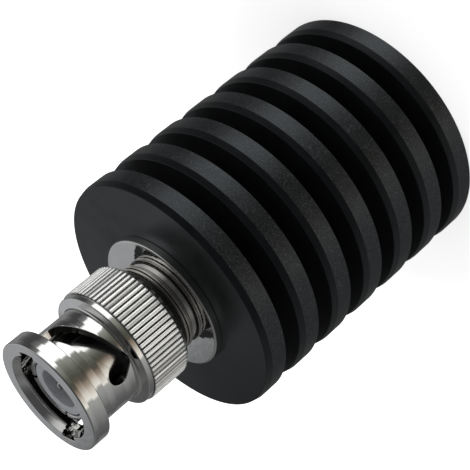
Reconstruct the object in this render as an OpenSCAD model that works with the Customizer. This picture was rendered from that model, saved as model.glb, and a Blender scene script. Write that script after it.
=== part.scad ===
// Coaxial dummy load: a finned black heat sink with a bayonet plug on its front.
// The axis of every turned piece is Z. The load stands on its flat rear face at Z = 0,
// with the plug pointing up.

/* [Heat sink] */
// Diameter over the fins
sink_d = 30; // [26:0.5:40]
// Number of fins
fin_count = 7; // [5:1:9]
// Thickness of one fin
fin_t = 2.95; // [2.6:0.05:3.4]
// Gap between two fins
fin_gap = 2.43; // [2:0.05:3]
// Diameter of the core that carries the fins
core_d = 18; // [15:0.5:21]
// Length of the shallow bevel at the front of each rim
rim_bevel_len = 0.8; // [0.3:0.05:1.2]
// Depth of the shallow bevel at the front of each rim
rim_bevel_h = 0.2; // [0.1:0.05:0.5]
// Broken edge at the rear of each rim
rim_break = 0.08; // [0.05:0.01:0.2]
// Fillet where a fin meets the core
fin_root_r = 0.5; // [0.2:0.05:0.9]
// Thickness of metal behind the bore
sink_floor_t = 7.4; // [6:0.1:9]
// Point angle of the drill that made the bore
drill_point_angle = 118; // [100:1:140]

/* [Plug body] */
// Diameter of the polished collar
collar_d = 16.72; // [15:0.1:20]
// Thickness of the collar
collar_t = 1; // [0.6:0.05:1.6]
// Rounding of the collar's front edge
collar_edge_r = 0.22; // [0.1:0.02:0.4]
// Diameter of the spigot that screws into the heat sink
spigot_d = 10; // [9:0.1:12]
// Length of the spigot
spigot_len = 7; // [5:0.1:9]
// Length of the relief behind the spigot's thread
relief_len = 0.6; // [0.4:0.05:1]
// Depth of the relief behind the spigot's thread
relief_depth = 0.3; // [0.1:0.05:0.5]
// Diameter of the chamber inside the spigot
chamber_d = 8.4; // [7.6:0.1:8.8]
// Diameter of the neck
neck_d = 11; // [10.8:0.1:11.4]
// Length of the neck from the collar to its shoulder
neck_len = 3.87; // [3.5:0.05:5]
// Length of the narrow root of the neck
neck_root_len = 0.47; // [0.3:0.01:0.8]
// Depth of the narrow root of the neck
neck_root_depth = 0.3; // [0.1:0.05:0.5]
// Width of each fine line turned in the neck
neck_line_w = 0.18; // [0.1:0.02:0.3]
// Depth of each fine line turned in the neck
neck_line_depth = 0.14; // [0.05:0.01:0.3]
// Distance between the fine lines
neck_line_pitch = 0.5; // [0.4:0.05:0.8]
// Diameter of the journal that carries the coupling sleeve
journal_d = 8.5; // [8.3:0.05:9]
// Length of the journal in front of the retaining ring
journal_land = 0.2; // [0.15:0.05:0.5]
// Diameter of the bore that takes the outer contact
socket_bore_d = 6.9; // [6.5:0.05:7.3]

/* [Coupling sleeve] */
// Length of the coupling sleeve
coupling_len = 14.31; // [13.5:0.05:15.5]
// Length of neck that shows behind the coupling sleeve
neck_show = 2.58; // [2:0.05:3]
// Diameter over the knurl
knurl_d = 14.5; // [14:0.1:16]
// Length of the knurl, with its rear bevel
knurl_len = 5.45; // [4.5:0.05:6]
// Number of teeth in the knurl
knurl_teeth = 72; // [48:1:84]
// Depth of the grooves in the knurl
knurl_depth = 0.27; // [0.15:0.01:0.4]
// Length of the rear bevel
rear_bevel_len = 0.7; // [0.4:0.05:1]
// Depth of the rear bevel
rear_bevel_h = 0.6; // [0.3:0.05:0.8]
// Chamfer at the front of the knurl
knurl_chamfer = 0.12; // [0.05:0.01:0.25]
// Diameter of the smooth band in front of the knurl
band_d = 14.06; // [13.6:0.02:15]
// Length of the smooth band
band_len = 0.78; // [0.5:0.02:1.2]
// Length of the slope from the band down to the barrel
slope_len = 0.14; // [0.05:0.01:0.3]
// Fillet between the slope and the barrel
shoulder_r = 0.32; // [0.15:0.01:0.5]
// Diameter of the barrel
barrel_d = 11.64; // [11.5:0.02:12.2]
// Diameter of the front flange
flange_d = 14.16; // [13.4:0.02:15]
// Thickness of the front flange
flange_t = 2.23; // [1.6:0.05:3]
// Rounding of the flange and band edges
flange_edge_r = 0.14; // [0.05:0.01:0.25]
// Diameter of the front bore
bore_d = 9.9; // [9.8:0.02:10.1]
// Diameter of the mouth of the bore
mouth_d = 10.9; // [10.5:0.05:11.4]
// Length of the tapered mouth
mouth_len = 0.75; // [0.4:0.05:1.2]
// Thickness of the inner rib that the spring washers push on
rib_t = 0.9; // [0.7:0.05:1.4]

/* [Bayonet slots] */
// Number of bayonet slots
slot_count = 2; // [2:1:2]
// Width of a slot
slot_w = 2.3; // [2.1:0.05:2.4]
// Angle of the first slot's entry, clockwise from X
entry_angle = 33; // [0:1:90]
// Diameter over the entry notches
entry_d = 11.8; // [11.7:0.05:12.4]
// Turn from the entry to the end of the ramp
ramp_turn = 78; // [60:1:90]
// Height of the ramp's start above the sleeve's rear end
ramp_start_h = 10.42; // [10:0.02:11]
// Rise of the ramp along the axis
ramp_rise = 2.7; // [2:0.05:3]
// Turn from the end of the ramp to the detent
detent_turn = 8.5; // [6:0.5:12]
// Distance that the detent steps back towards the front
detent_step = 0.88; // [0.6:0.02:1.1]

/* [Spring pack] */
// Thickness of the rear thrust washer
rear_washer_t = 0.3; // [0.2:0.05:0.5]
// Thickness of the front thrust washer
front_washer_t = 0.25; // [0.2:0.05:0.4]
// Thickness of the strip of a wave washer
wave_strip_t = 0.25; // [0.15:0.05:0.3]
// Height of the waves
wave_h = 0.4; // [0.3:0.05:0.6]
// Number of waves round a washer
wave_count = 3; // [3:1:4]
// Thickness of the retaining ring
ring_t = 0.45; // [0.3:0.05:0.6]
// Depth of the retaining ring's groove
ring_groove_depth = 0.3; // [0.2:0.05:0.4]
// Gap in the retaining ring
ring_split = 1.3; // [0.8:0.1:2]
// Thickness of the sealing gasket
gasket_t = 1; // [0.6:0.05:1.5]

/* [Contacts] */
// Outer diameter of the outer contact
contact_d = 8.1; // [7.8:0.02:8.2]
// Inner diameter of the outer contact
contact_bore_d = 7; // [6.9:0.02:7.1]
// Distance from the front of the sleeve to the outer contact
contact_recess = 1.3; // [0.6:0.05:2]
// Inner diameter of the outer contact's shank
shank_bore_d = 5.9; // [5.6:0.05:6]
// Thickness of the web between the shank and the front of the outer contact
contact_web_t = 0.8; // [0.6:0.05:1.2]
// Length of the shank
shank_len = 4.2; // [3.5:0.1:4.6]
// Length of the slots in the outer contact
contact_slot_len = 5; // [3:0.1:6]
// Angle of the first slot in the outer contact
contact_slot_turn = 45; // [0:5:90]
// Width of the slots in the spring contacts
spring_slot_w = 0.4; // [0.3:0.05:0.6]
// Diameter of the centre pin's tip
pin_d = 1.35; // [1.3:0.01:1.4]
// Distance from the front of the outer contact to the pin
pin_recess = 0.3; // [0.1:0.05:1]
// Diameter of the centre pin's shoulder
pin_shoulder_d = 2; // [1.8:0.1:2.4]
// Diameter of the centre pin's tail
pin_tail_d = 1.6; // [1.4:0.05:1.7]
// Length of the pin's tail behind the rear bead
pin_tail_len = 3; // [2:0.1:4]
// Outer diameter of the inner contact socket
socket_d = 3.8; // [3.2:0.1:4.4]
// Space between the contact socket and the rear bead
socket_gap = 0.4; // [0.2:0.05:0.8]

/* [Insulators] */
// Length of the rear bead
bead_len = 2; // [1.5:0.1:2.4]
// Thickness of the front insulator's flange
insulator_flange_t = 0.8; // [0.5:0.05:1.2]
// Length of the front insulator behind the pin's shoulder
insulator_back_t = 1; // [0.6:0.05:1.4]
// Inner diameter of the front insulator's sleeve round the pin
insulator_bore_d = 4.9; // [4.8:0.05:5.3]
// Distance from the front of the outer contact to the front of that sleeve
insulator_recess = 0.15; // [0.1:0.05:0.6]

/* [Load] */
// Diameter of the ceramic rod
rod_d = 3.8; // [3:0.1:4.4]
// Bore of the ceramic rod
rod_bore_d = 1.4; // [1:0.1:2]
// Length of the ceramic rod
rod_len = 20.2; // [18:0.1:20.6]
// Thickness of the resistive film
film_t = 0.06; // [0.04:0.01:0.1]
// Wall of the end caps
cap_wall = 0.34; // [0.25:0.01:0.5]
// Floor thickness of the end caps
cap_floor_t = 0.8; // [0.6:0.05:1.2]
// Length of the front cap's skirt
front_cap_len = 2.2; // [1.6:0.1:3]
// Length of the rear cap's skirt
rear_cap_len = 2.7; // [2:0.1:3.2]
// Diameter of the stub on the front cap
cap_stub_d = 1.8; // [1.4:0.1:2.2]
// Length of the stub on the front cap
cap_stub_len = 2; // [1.5:0.1:2.4]
// Height of the rear cap above the floor of the bore
cap_lift = 0.7; // [0.4:0.05:1]
// Thickness of the ground collet's base
collet_base_t = 1.2; // [0.8:0.05:1.6]
// Length of the ground collet's fingers
collet_finger_len = 3.8; // [3:0.1:4.5]
// Wall of the ground collet's fingers
collet_wall = 1; // [0.7:0.05:1.2]
// Narrow end of the matching sleeve's horn
horn_small_d = 5.4; // [5.2:0.1:6]
// Wide end of the matching sleeve's horn
horn_large_d = 8.4; // [7.6:0.1:8.8]

/* [Hidden] */
$fn = 96;
// Overrun of every cut
over = 0.5;
// Running clearance of the coupling sleeve on the neck and journal, on the radius
run_gap = 0.07;
// Clearance between two faces that slide or turn on each other
face_gap = 0.03;
// Clearance between pieces that pass without touching
pass_gap = 0.15;
// Steps of a small rounded edge
edge_steps = 4;
// Steps of a bayonet ramp
ramp_steps = 18;
// Steps of a quarter of a bayonet slot's round end
end_steps = 6;
// Part of a quarter turn that the last flat of a slot's round end leaves
end_turn = 84;
// Stations round a wave washer
wave_steps = 60;
// Steps of the horn
horn_steps = 12;
// Share of a knurl tooth's pitch that its flat top takes
tooth_top_share = 0.42;
// Share of the horn's widening, from its narrow end, at the middle of its length
horn_mid_share = 0.36;

sink_r = sink_d / 2;
core_r = core_d / 2;
fin_pitch = fin_t + fin_gap;
sink_len = fin_count * fin_t + (fin_count - 1) * fin_gap;
spigot_r = spigot_d / 2;
spigot_end_z = sink_len - spigot_len;
collar_r = collar_d / 2;
collar_z = sink_len + collar_t;
neck_r = neck_d / 2;
neck_end_z = collar_z + neck_len;
journal_r = journal_d / 2;
socket_bore_r = socket_bore_d / 2;

coupling_z = collar_z + neck_show;
coupling_end_z = coupling_z + coupling_len;
knurl_r = knurl_d / 2;
knurl_root_r = knurl_r - knurl_depth;
band_r = band_d / 2;
barrel_r = barrel_d / 2;
flange_r = flange_d / 2;
bore_r = bore_d / 2;
mouth_r = mouth_d / 2;
entry_r = entry_d / 2;
slot_r = slot_w / 2;
// Length of one degree of arc on the barrel
deg_len = barrel_r * PI / 180;
slot_start = [entry_angle * deg_len, ramp_start_h];
slot_low = slot_start + [ramp_turn * deg_len, -ramp_rise];
slot_stop = slot_low + [detent_turn * deg_len, detent_step];
ramp_slope = -atan(ramp_rise / (ramp_turn * deg_len));
detent_slope = atan(detent_step / (detent_turn * deg_len));
rib_z = neck_end_z + rear_washer_t + face_gap;
rib_end_z = rib_z + rib_t;

front_washer_z = rib_end_z + face_gap;
rear_wave_z = front_washer_z + front_washer_t + face_gap;
wave_washer_h = wave_strip_t + wave_h;
front_wave_z = rear_wave_z + wave_washer_h;
ring_z = front_wave_z + wave_washer_h;
journal_end_z = ring_z + ring_t + journal_land;
gasket_end_z = journal_end_z + gasket_t;
ring_groove_r = journal_r - ring_groove_depth;
washer_in_r = journal_r + run_gap;
washer_out_r = bore_r - pass_gap;

contact_r = contact_d / 2;
contact_bore_r = contact_bore_d / 2;
contact_end_z = coupling_end_z - contact_recess;
shank_z = journal_end_z - shank_len;
shank_bore_r = shank_bore_d / 2;
web_end_z = journal_end_z + contact_web_t;
insulator_end_z = web_end_z + insulator_flange_t;
insulator_bore_r = insulator_bore_d / 2;
insulator_front_z = contact_end_z - insulator_recess;
pin_r = pin_d / 2;
pin_shoulder_r = pin_shoulder_d / 2;
pin_tail_r = pin_tail_d / 2;
pin_shoulder_z = shank_z + insulator_back_t;
pin_end_z = contact_end_z - pin_recess;
bead_end_z = shank_z - pass_gap;
bead_z = bead_end_z - bead_len;
pin_z = bead_z - pin_tail_len;

film_r = rod_d / 2 + film_t;
cap_r = film_r + cap_wall;
rear_cap_z = sink_floor_t + cap_lift;
rod_z = rear_cap_z + cap_floor_t;
rod_end_z = rod_z + rod_len;
front_cap_end_z = rod_end_z + cap_floor_t;
cap_stub_end_z = front_cap_end_z + cap_stub_len;
socket_end_z = bead_z - socket_gap;
socket_hole_z = pin_z - pass_gap;
collet_base_end_z = sink_floor_t + collet_base_t;
collet_end_z = collet_base_end_z + collet_finger_len;
collet_finger_r = cap_r + collet_wall;
horn_z = collet_end_z + pass_gap;

// Points along an arc, by angle from the first drawing axis
function arc(cx, cy, r, a0, a1, steps) =
    [for (i = [0:steps]) let (a = a0 + (a1 - a0) * i / steps) [cx + r * cos(a), cy + r * sin(a)]];

// A ring of rectangular section between two heights
module ring(r_in, r_out, z0, z1) {
    difference() {
        translate([0, 0, z0]) cylinder(r = r_out, h = z1 - z0);
        translate([0, 0, z0 - over]) cylinder(r = r_in, h = z1 - z0 + 2 * over);
    }
}

// Slots that cut a tube lengthwise into spring fingers, two fingers to a slot
module finger_slots(count, r, z0, z1) {
    for (i = [0:count - 1])
        rotate([0, 0, 180 * i / count])
            translate([-r, -spring_slot_w / 2, z0]) cube([2 * r, spring_slot_w, z1 - z0]);
}

// Half outline of one fin, from its rear root to its front root
function fin_outline(z) = concat(
    arc(core_r + fin_root_r, z - fin_root_r, fin_root_r, 180, 90, edge_steps),
    [[sink_r - rim_break, z], [sink_r, z + rim_break], [sink_r, z + fin_t - rim_bevel_len],
        [sink_r - rim_bevel_h, z + fin_t]],
    arc(core_r + fin_root_r, z + fin_t + fin_root_r, fin_root_r, 270, 180, edge_steps));

module heat_sink() {
    plain_end = [[sink_r - rim_break, 0], [sink_r, rim_break], [sink_r, fin_t - rim_bevel_len],
        [sink_r - rim_bevel_h, fin_t]];
    last_z = (fin_count - 1) * fin_pitch;
    color([0.08, 0.08, 0.09])
    difference() {
        rotate_extrude() polygon(concat(
            [[0, 0]],
            plain_end,
            arc(core_r + fin_root_r, fin_t + fin_root_r, fin_root_r, 270, 180, edge_steps),
            [for (i = [1:fin_count - 2]) each fin_outline(i * fin_pitch)],
            arc(core_r + fin_root_r, last_z - fin_root_r, fin_root_r, 180, 90, edge_steps),
            [for (p = plain_end) p + [0, last_z]],
            [[0, sink_len]]));
        translate([0, 0, sink_floor_t]) cylinder(r = spigot_r, h = sink_len);
        drill_h = spigot_r / tan(drill_point_angle / 2);
        translate([0, 0, sink_floor_t - drill_h]) cylinder(r1 = 0, r2 = spigot_r, h = drill_h);
    }
}

module plug_body() {
    line_z = collar_z + neck_root_len + neck_line_pitch;
    color("silver")
    difference() {
        rotate_extrude() polygon(concat(
            [[chamber_d / 2, spigot_end_z], [spigot_r - relief_depth, spigot_end_z],
                [spigot_r, spigot_end_z + relief_depth],
                [spigot_r, sink_len - relief_len], [spigot_r - relief_depth, sink_len - relief_len],
                [spigot_r - relief_depth, sink_len], [collar_r, sink_len]],
            arc(collar_r - collar_edge_r, collar_z - collar_edge_r, collar_edge_r, 0, 90, edge_steps),
            [[neck_r - neck_root_depth, collar_z],
                [neck_r - neck_root_depth, collar_z + neck_root_len],
                [neck_r, collar_z + neck_root_len],
                [neck_r, neck_end_z], [journal_r, neck_end_z],
                [journal_r, ring_z], [ring_groove_r, ring_z],
                [ring_groove_r, ring_z + ring_t], [journal_r, ring_z + ring_t],
                [journal_r, journal_end_z], [socket_bore_r, journal_end_z],
                [socket_bore_r, bead_z], [chamber_d / 2, bead_z]]));
        for (i = [0:1])
            ring(neck_r - neck_line_depth, neck_r + over, line_z + i * neck_line_pitch,
                line_z + i * neck_line_pitch + neck_line_w);
    }
}

// The knurl's cross-section
module knurl_outline() {
    pitch_angle = 360 / knurl_teeth;
    half_top = pitch_angle * tooth_top_share / 2;
    polygon([for (i = [0:knurl_teeth - 1], p = [[0, knurl_root_r], [pitch_angle / 2 - half_top, knurl_r],
            [pitch_angle / 2 + half_top, knurl_r]])
        let (a = i * pitch_angle + p[0]) [p[1] * cos(a), p[1] * sin(a)]]);
}

// Height of the wall round the end of a slot run, above or below the run's middle p
function end_wall(p, x, side) =
    p[1] + side * sqrt(max(0, slot_r * slot_r - (x - p[0]) * (x - p[0])));

// Height of the wall along a straight run from p
function run_wall(p, slope, x, side) =
    p[1] + (x - p[0]) * tan(slope) + side * slot_r / cos(slope);

// Height of the slot's rear wall at an arc length along the barrel
function rear_wall(x) =
    x < slot_start[0] + slot_r * sin(ramp_slope) ? end_wall(slot_start, x, -1)
    : x < slot_low[0] + slot_r * sin(ramp_slope) ? run_wall(slot_start, ramp_slope, x, -1)
    : x < slot_low[0] + slot_r * sin(detent_slope) ? end_wall(slot_low, x, -1)
    : x < slot_stop[0] + slot_r * sin(detent_slope) ? run_wall(slot_low, detent_slope, x, -1)
    : end_wall(slot_stop, x, -1);

// Height of the slot's front wall, which is open through the flange at the entry
function front_wall(x) =
    x <= slot_start[0] + slot_r ? coupling_len + over
    : x < slot_stop[0] - slot_r * sin(detent_slope)
        ? max(run_wall(slot_start, ramp_slope, x, 1), run_wall(slot_low, detent_slope, x, 1))
    : end_wall(slot_stop, x, 1);

// Arc lengths at which the slot's cutter has a cross-section
function slot_stations() =
    let (run_start = slot_start[0] + slot_r, run_len = slot_stop[0] - run_start)
    concat(
        [for (i = [0:end_steps]) slot_start[0] - slot_r * cos(90 * i / end_steps)],
        [for (i = [1:end_steps / 2]) slot_start[0] + slot_r * i / (end_steps / 2)],
        [run_start + face_gap],
        [for (i = [1:ramp_steps]) run_start + run_len * i / ramp_steps],
        [for (i = [1:end_steps]) slot_stop[0] + slot_r * sin(end_turn * i / end_steps)]);

// One bayonet slot: entry through the flange, ramp and detent, with walls along radii.
// Angles run clockwise from X, so that a clockwise turn draws the sleeve onto the studs.
module bayonet_slot() {
    r0 = contact_r + pass_gap;
    xs = slot_stations();
    last = len(xs) - 1;
    polyhedron(
        points = [for (x = xs, k = [[r0, 0], [entry_r, 0], [entry_r, 1], [r0, 1]])
            let (a = -x / deg_len) [k[0] * cos(a), k[0] * sin(a), k[1] == 0 ? rear_wall(x) : front_wall(x)]],
        faces = concat(
            [for (i = [0:last - 1], k = [0:3], t = [0, 1])
                let (a = 4 * i + k, b = 4 * i + (k + 1) % 4, c = a + 4, d = b + 4)
                t == 0 ? [a, c, b] : [b, c, d]],
            [[0, 1, 2], [0, 2, 3]],
            [[4 * last, 4 * last + 2, 4 * last + 1], [4 * last, 4 * last + 3, 4 * last + 2]]));
}

module coupling_sleeve() {
    band_h = knurl_len + band_len;
    barrel_h = band_h + slope_len;
    flange_h = coupling_len - flange_t;
    // The knurled ring is rooted in the turned body under its teeth
    knurl_seat_r = (neck_r + run_gap + knurl_r - rear_bevel_h) / 2;
    color("silver")
    translate([0, 0, coupling_z])
    difference() {
        union() {
            rotate_extrude() polygon(concat(
                [[neck_r + run_gap, 0], [knurl_seat_r, 0],
                    [knurl_seat_r, knurl_len - face_gap], [band_r, knurl_len - face_gap]],
                arc(band_r - flange_edge_r, band_h - flange_edge_r, flange_edge_r, 0, 90, edge_steps),
                arc(barrel_r + shoulder_r, barrel_h + shoulder_r, shoulder_r, 270, 180, edge_steps),
                [[barrel_r, flange_h]],
                arc(flange_r - flange_edge_r, flange_h + flange_edge_r, flange_edge_r, -90, 0,
                    edge_steps),
                arc(flange_r - flange_edge_r, coupling_len - flange_edge_r, flange_edge_r, 0, 90,
                    edge_steps),
                [[mouth_r, coupling_len], [bore_r, coupling_len - mouth_len],
                    [bore_r, rib_end_z - coupling_z], [journal_r + run_gap, rib_end_z - coupling_z],
                    [journal_r + run_gap, rib_z - coupling_z], [neck_r + run_gap, rib_z - coupling_z]]));
            intersection() {
                difference() {
                    linear_extrude(height = knurl_len) knurl_outline();
                    translate([0, 0, -over])
                        cylinder(r = (neck_r + run_gap + knurl_seat_r) / 2, h = knurl_len + 2 * over);
                }
                rotate_extrude() polygon([[0, 0], [knurl_r - rear_bevel_h, 0],
                    [knurl_r, rear_bevel_len], [knurl_r, knurl_len - knurl_chamfer],
                    [knurl_r - knurl_chamfer, knurl_len], [0, knurl_len]]);
            }
        }
        for (i = [0:slot_count - 1]) rotate([0, 0, 360 * i / slot_count]) bayonet_slot();
    }
}

module rear_thrust_washer() {
    color("gray") ring(washer_in_r, neck_r - pass_gap, neck_end_z, neck_end_z + rear_washer_t);
}

module front_thrust_washer() {
    color("gray") ring(washer_in_r, washer_out_r, front_washer_z, front_washer_z + front_washer_t);
}

// A flat strip bent into waves round the axis
module wave_washer(z, phase) {
    function wave_z(a) = z + wave_h * (1 - cos(wave_count * a + phase)) / 2;
    corners = [[washer_in_r, 0], [washer_out_r, 0], [washer_out_r, wave_strip_t],
        [washer_in_r, wave_strip_t]];
    polyhedron(
        points = [for (i = [0:wave_steps - 1], k = corners)
            let (a = 360 * i / wave_steps) [k[0] * cos(a), k[0] * sin(a), wave_z(a) + k[1]]],
        faces = [for (i = [0:wave_steps - 1], k = [0:3], t = [0, 1])
            let (j = (i + 1) % wave_steps, a = 4 * i + k, b = 4 * i + (k + 1) % 4,
                c = 4 * j + k, d = 4 * j + (k + 1) % 4)
            t == 0 ? [a, b, c] : [b, d, c]]);
}

module rear_wave_washer() {
    color("gray") wave_washer(rear_wave_z, 0);
}

module front_wave_washer() {
    color("gray") wave_washer(front_wave_z, 180);
}

module retaining_ring() {
    color("gray")
    difference() {
        ring(ring_groove_r, washer_out_r, ring_z, ring_z + ring_t);
        translate([0, -ring_split / 2, ring_z - over])
            cube([bore_r, ring_split, ring_t + 2 * over]);
    }
}

module sealing_gasket() {
    color("orangered") ring(contact_r, washer_out_r, journal_end_z, gasket_end_z);
}

module outer_contact() {
    lead = (contact_r - contact_bore_r) / 2;
    color("gold")
    difference() {
        rotate_extrude() polygon([
            [shank_bore_r, shank_z], [socket_bore_r, shank_z], [socket_bore_r, journal_end_z],
            [contact_r, journal_end_z], [contact_r, contact_end_z - lead],
            [contact_r - lead / 2, contact_end_z], [contact_bore_r + lead / 2, contact_end_z],
            [contact_bore_r, contact_end_z - lead],
            [contact_bore_r, web_end_z], [shank_bore_r, web_end_z]]);
        rotate([0, 0, contact_slot_turn])
            finger_slots(2, contact_r + over, contact_end_z - contact_slot_len, contact_end_z + over);
    }
}

module center_pin() {
    color("gold")
    rotate_extrude() polygon(concat(
        [[0, pin_z], [pin_tail_r, pin_z], [pin_tail_r, pin_shoulder_z],
            [pin_shoulder_r, pin_shoulder_z], [pin_shoulder_r, insulator_end_z],
            [pin_r, insulator_end_z]],
        arc(0, pin_end_z - pin_r, pin_r, 0, 90, 2 * edge_steps)));
}

// The insulator carries the pin, and its sleeve lines the outer contact without touching the
// spring fingers
module front_insulator() {
    sleeve_r = contact_bore_r - run_gap;
    color("white")
    rotate_extrude() polygon([
        [pin_tail_r, shank_z], [shank_bore_r, shank_z], [shank_bore_r, web_end_z],
        [contact_bore_r, web_end_z], [contact_bore_r, insulator_end_z],
        [sleeve_r, insulator_end_z], [sleeve_r, insulator_front_z - run_gap],
        [sleeve_r - run_gap, insulator_front_z], [insulator_bore_r, insulator_front_z],
        [insulator_bore_r, insulator_end_z],
        [pin_shoulder_r, insulator_end_z], [pin_shoulder_r, pin_shoulder_z],
        [pin_tail_r, pin_shoulder_z]]);
}

module rear_bead() {
    color("white") ring(pin_tail_r, socket_bore_r, bead_z, bead_end_z);
}

module contact_socket() {
    color("gold")
    difference() {
        ring(pin_tail_r, socket_d / 2, front_cap_end_z, socket_end_z);
        translate([0, 0, front_cap_end_z - over])
            cylinder(d = cap_stub_d, h = cap_stub_end_z + pass_gap - front_cap_end_z + over);
        finger_slots(2, socket_d, socket_hole_z, socket_end_z + over);
    }
}

module front_end_cap() {
    color("silver")
    union() {
        ring(film_r, cap_r, rod_end_z - front_cap_len, rod_end_z);
        translate([0, 0, rod_end_z]) cylinder(r = cap_r, h = cap_floor_t);
        translate([0, 0, front_cap_end_z]) cylinder(d = cap_stub_d, h = cap_stub_len);
    }
}

module resistor_rod() {
    color("ivory") ring(rod_bore_d / 2, rod_d / 2, rod_z, rod_end_z);
}

module resistor_film() {
    color("dimgray") ring(rod_d / 2, film_r, rod_z, rod_end_z);
}

module rear_end_cap() {
    color("silver")
    union() {
        translate([0, 0, rear_cap_z]) cylinder(r = cap_r, h = cap_floor_t);
        ring(film_r, cap_r, rod_z, rod_z + rear_cap_len);
    }
}

// Tapered outer conductor that keeps the line matched along the rod
module matching_sleeve() {
    function widening(share) = share * (2 * horn_mid_share + (1 - 2 * horn_mid_share) * share)
        / (2 * horn_mid_share + (1 - 2 * horn_mid_share));
    horn_len = spigot_end_z - horn_z;
    color("goldenrod")
    rotate_extrude() polygon(concat(
        [[collet_finger_r + pass_gap, collet_base_end_z], [spigot_r, collet_base_end_z],
            [spigot_r, spigot_end_z]],
        [for (i = [horn_steps:-1:0]) let (share = i / horn_steps)
            [(horn_small_d + (horn_large_d - horn_small_d) * widening(share)) / 2,
                horn_z + horn_len * share]],
        [[collet_finger_r + pass_gap, horn_z]]));
}

// Slotted collet that carries the rear cap and joins it to the heat sink
module ground_collet() {
    color("gold")
    difference() {
        union() {
            ring(cap_r, spigot_r, sink_floor_t, collet_base_end_z);
            ring(cap_r, collet_finger_r, collet_base_end_z, collet_end_z);
        }
        finger_slots(2, collet_finger_r + over, collet_base_end_z, collet_end_z + over);
    }
}

heat_sink();
plug_body();
coupling_sleeve();
rear_thrust_washer();
front_thrust_washer();
rear_wave_washer();
front_wave_washer();
retaining_ring();
sealing_gasket();
outer_contact();
center_pin();
front_insulator();
rear_bead();
contact_socket();
front_end_cap();
resistor_rod();
resistor_film();
rear_end_cap();
matching_sleeve();
ground_collet();
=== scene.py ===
"""Looks of the coaxial dummy load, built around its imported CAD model."""

from __future__ import annotations

import logging
import math
from dataclasses import dataclass, field, replace
from enum import Enum
from typing import Callable

import bmesh
import bpy
from mathutils import Matrix, Vector


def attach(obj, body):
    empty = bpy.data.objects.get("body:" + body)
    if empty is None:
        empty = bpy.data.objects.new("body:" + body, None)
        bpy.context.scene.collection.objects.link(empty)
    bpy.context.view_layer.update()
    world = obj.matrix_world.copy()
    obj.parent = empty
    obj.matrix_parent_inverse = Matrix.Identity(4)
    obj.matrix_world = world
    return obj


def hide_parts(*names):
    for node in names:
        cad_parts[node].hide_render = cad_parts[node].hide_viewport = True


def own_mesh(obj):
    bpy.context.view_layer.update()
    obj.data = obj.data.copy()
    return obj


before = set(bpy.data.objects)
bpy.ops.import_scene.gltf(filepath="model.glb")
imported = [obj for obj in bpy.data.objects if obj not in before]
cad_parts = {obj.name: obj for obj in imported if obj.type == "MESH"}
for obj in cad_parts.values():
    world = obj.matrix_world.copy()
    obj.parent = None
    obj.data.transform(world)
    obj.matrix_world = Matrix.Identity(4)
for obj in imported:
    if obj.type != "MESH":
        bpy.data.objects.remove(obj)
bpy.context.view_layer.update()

LOG = logging.getLogger("dummy_load")
MM = 0.001
MICRON = MM * MM
# The normals are weighed on a mesh this many times larger
WEIGHING_SCALE = 1e5
# Points nearer to the axis than this, in millimetres, are on it
ON_AXIS = 1e-6
# The normal of a cut's wall leans less than this out from the axis
WALL_LEAN = 0.5

Colour = tuple[float, float, float]
Point = tuple[float, float, float]
Outline = list[tuple[float, float]]
# Corners of a turned outline, each with the values of a Corner in order
Corners = tuple[tuple[float, ...], ...]
Socket = bpy.types.NodeSocket


class Body(Enum):
    """CAD body that a piece rides on."""

    LOAD = "load_body"
    WASHER = "thrust_pack"
    COUPLING = "coupling"


class Slot(Enum):
    """Material slot of the record that a piece takes its finish from."""

    BLACK = "black_anodised"
    NICKEL = "nickel_plate"
    STEEL = "spring_steel"
    RUBBER = "silicone_rubber"
    CONTACT = "contact_plate"
    SILVER = "silver_plate"
    PLASTIC = "white_insulator"
    TIN = "tinned_brass"
    CERAMIC = "ceramic"
    FILM = "resistive_film"
    BRASS = "bare_brass"


class Zone(Enum):
    """Part of a piece that has a finish of its own."""

    RIM = "rim"
    KNURL = "knurl"
    # Painted shade: near black walls inside the bayonet slots
    SHADED_SLOT_WALL = "slot wall"
    NECK = "neck"
    # Painted shade: a dark finish on recesses and on the neck under the sleeve
    SHADED_RECESS = "groove"


# Meshes


@dataclass(frozen=True)
class Corner:
    """One corner of a turned outline, in millimetres.

    Attributes:
        r: Distance from the axis.
        z: Height above the heat sink's rear face.
        fillet: Radius of the rounding at the corner.
        steps: Number of straight steps in the rounding.
    """

    r: float
    z: float
    fillet: float = 0.0
    steps: int = 4


def rounded(outline: Corners) -> Outline:
    """Rounds the corners of a closed outline.

    Args:
        outline: The outline's corners, in order.

    Returns:
        The points of the rounded outline as (r, z).
    """
    points: Outline = []
    corners = [Corner(*values) for values in outline]
    count = len(corners)
    for i, corner in enumerate(corners):
        here = Vector((corner.r, corner.z))
        if corner.fillet <= 0:
            points.append((corner.r, corner.z))
            continue
        previous, following = corners[i - 1], corners[(i + 1) % count]
        before = Vector((previous.r, previous.z)) - here
        after = Vector((following.r, following.z)) - here
        half = before.angle(after) / 2
        reach = corner.fillet / math.tan(half)
        start = here + before.normalized() * reach
        end = here + after.normalized() * reach
        inward = (before.normalized() + after.normalized()).normalized()
        centre = here + inward * (corner.fillet / math.sin(half))
        a0 = math.atan2(start.y - centre.y, start.x - centre.x)
        a1 = math.atan2(end.y - centre.y, end.x - centre.x)
        turn = (a1 - a0 + math.pi) % (2 * math.pi) - math.pi
        for k in range(corner.steps + 1):
            a = a0 + turn * k / corner.steps
            points.append((centre.x + corner.fillet * math.cos(a),
                           centre.y + corner.fillet * math.sin(a)))
    return points


def linked(name: str, data: bpy.types.ID) -> bpy.types.Object:
    """Makes an object of its data and links it to the scene."""
    made = bpy.data.objects.new(name, data)
    bpy.context.scene.collection.objects.link(made)
    return made


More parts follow.
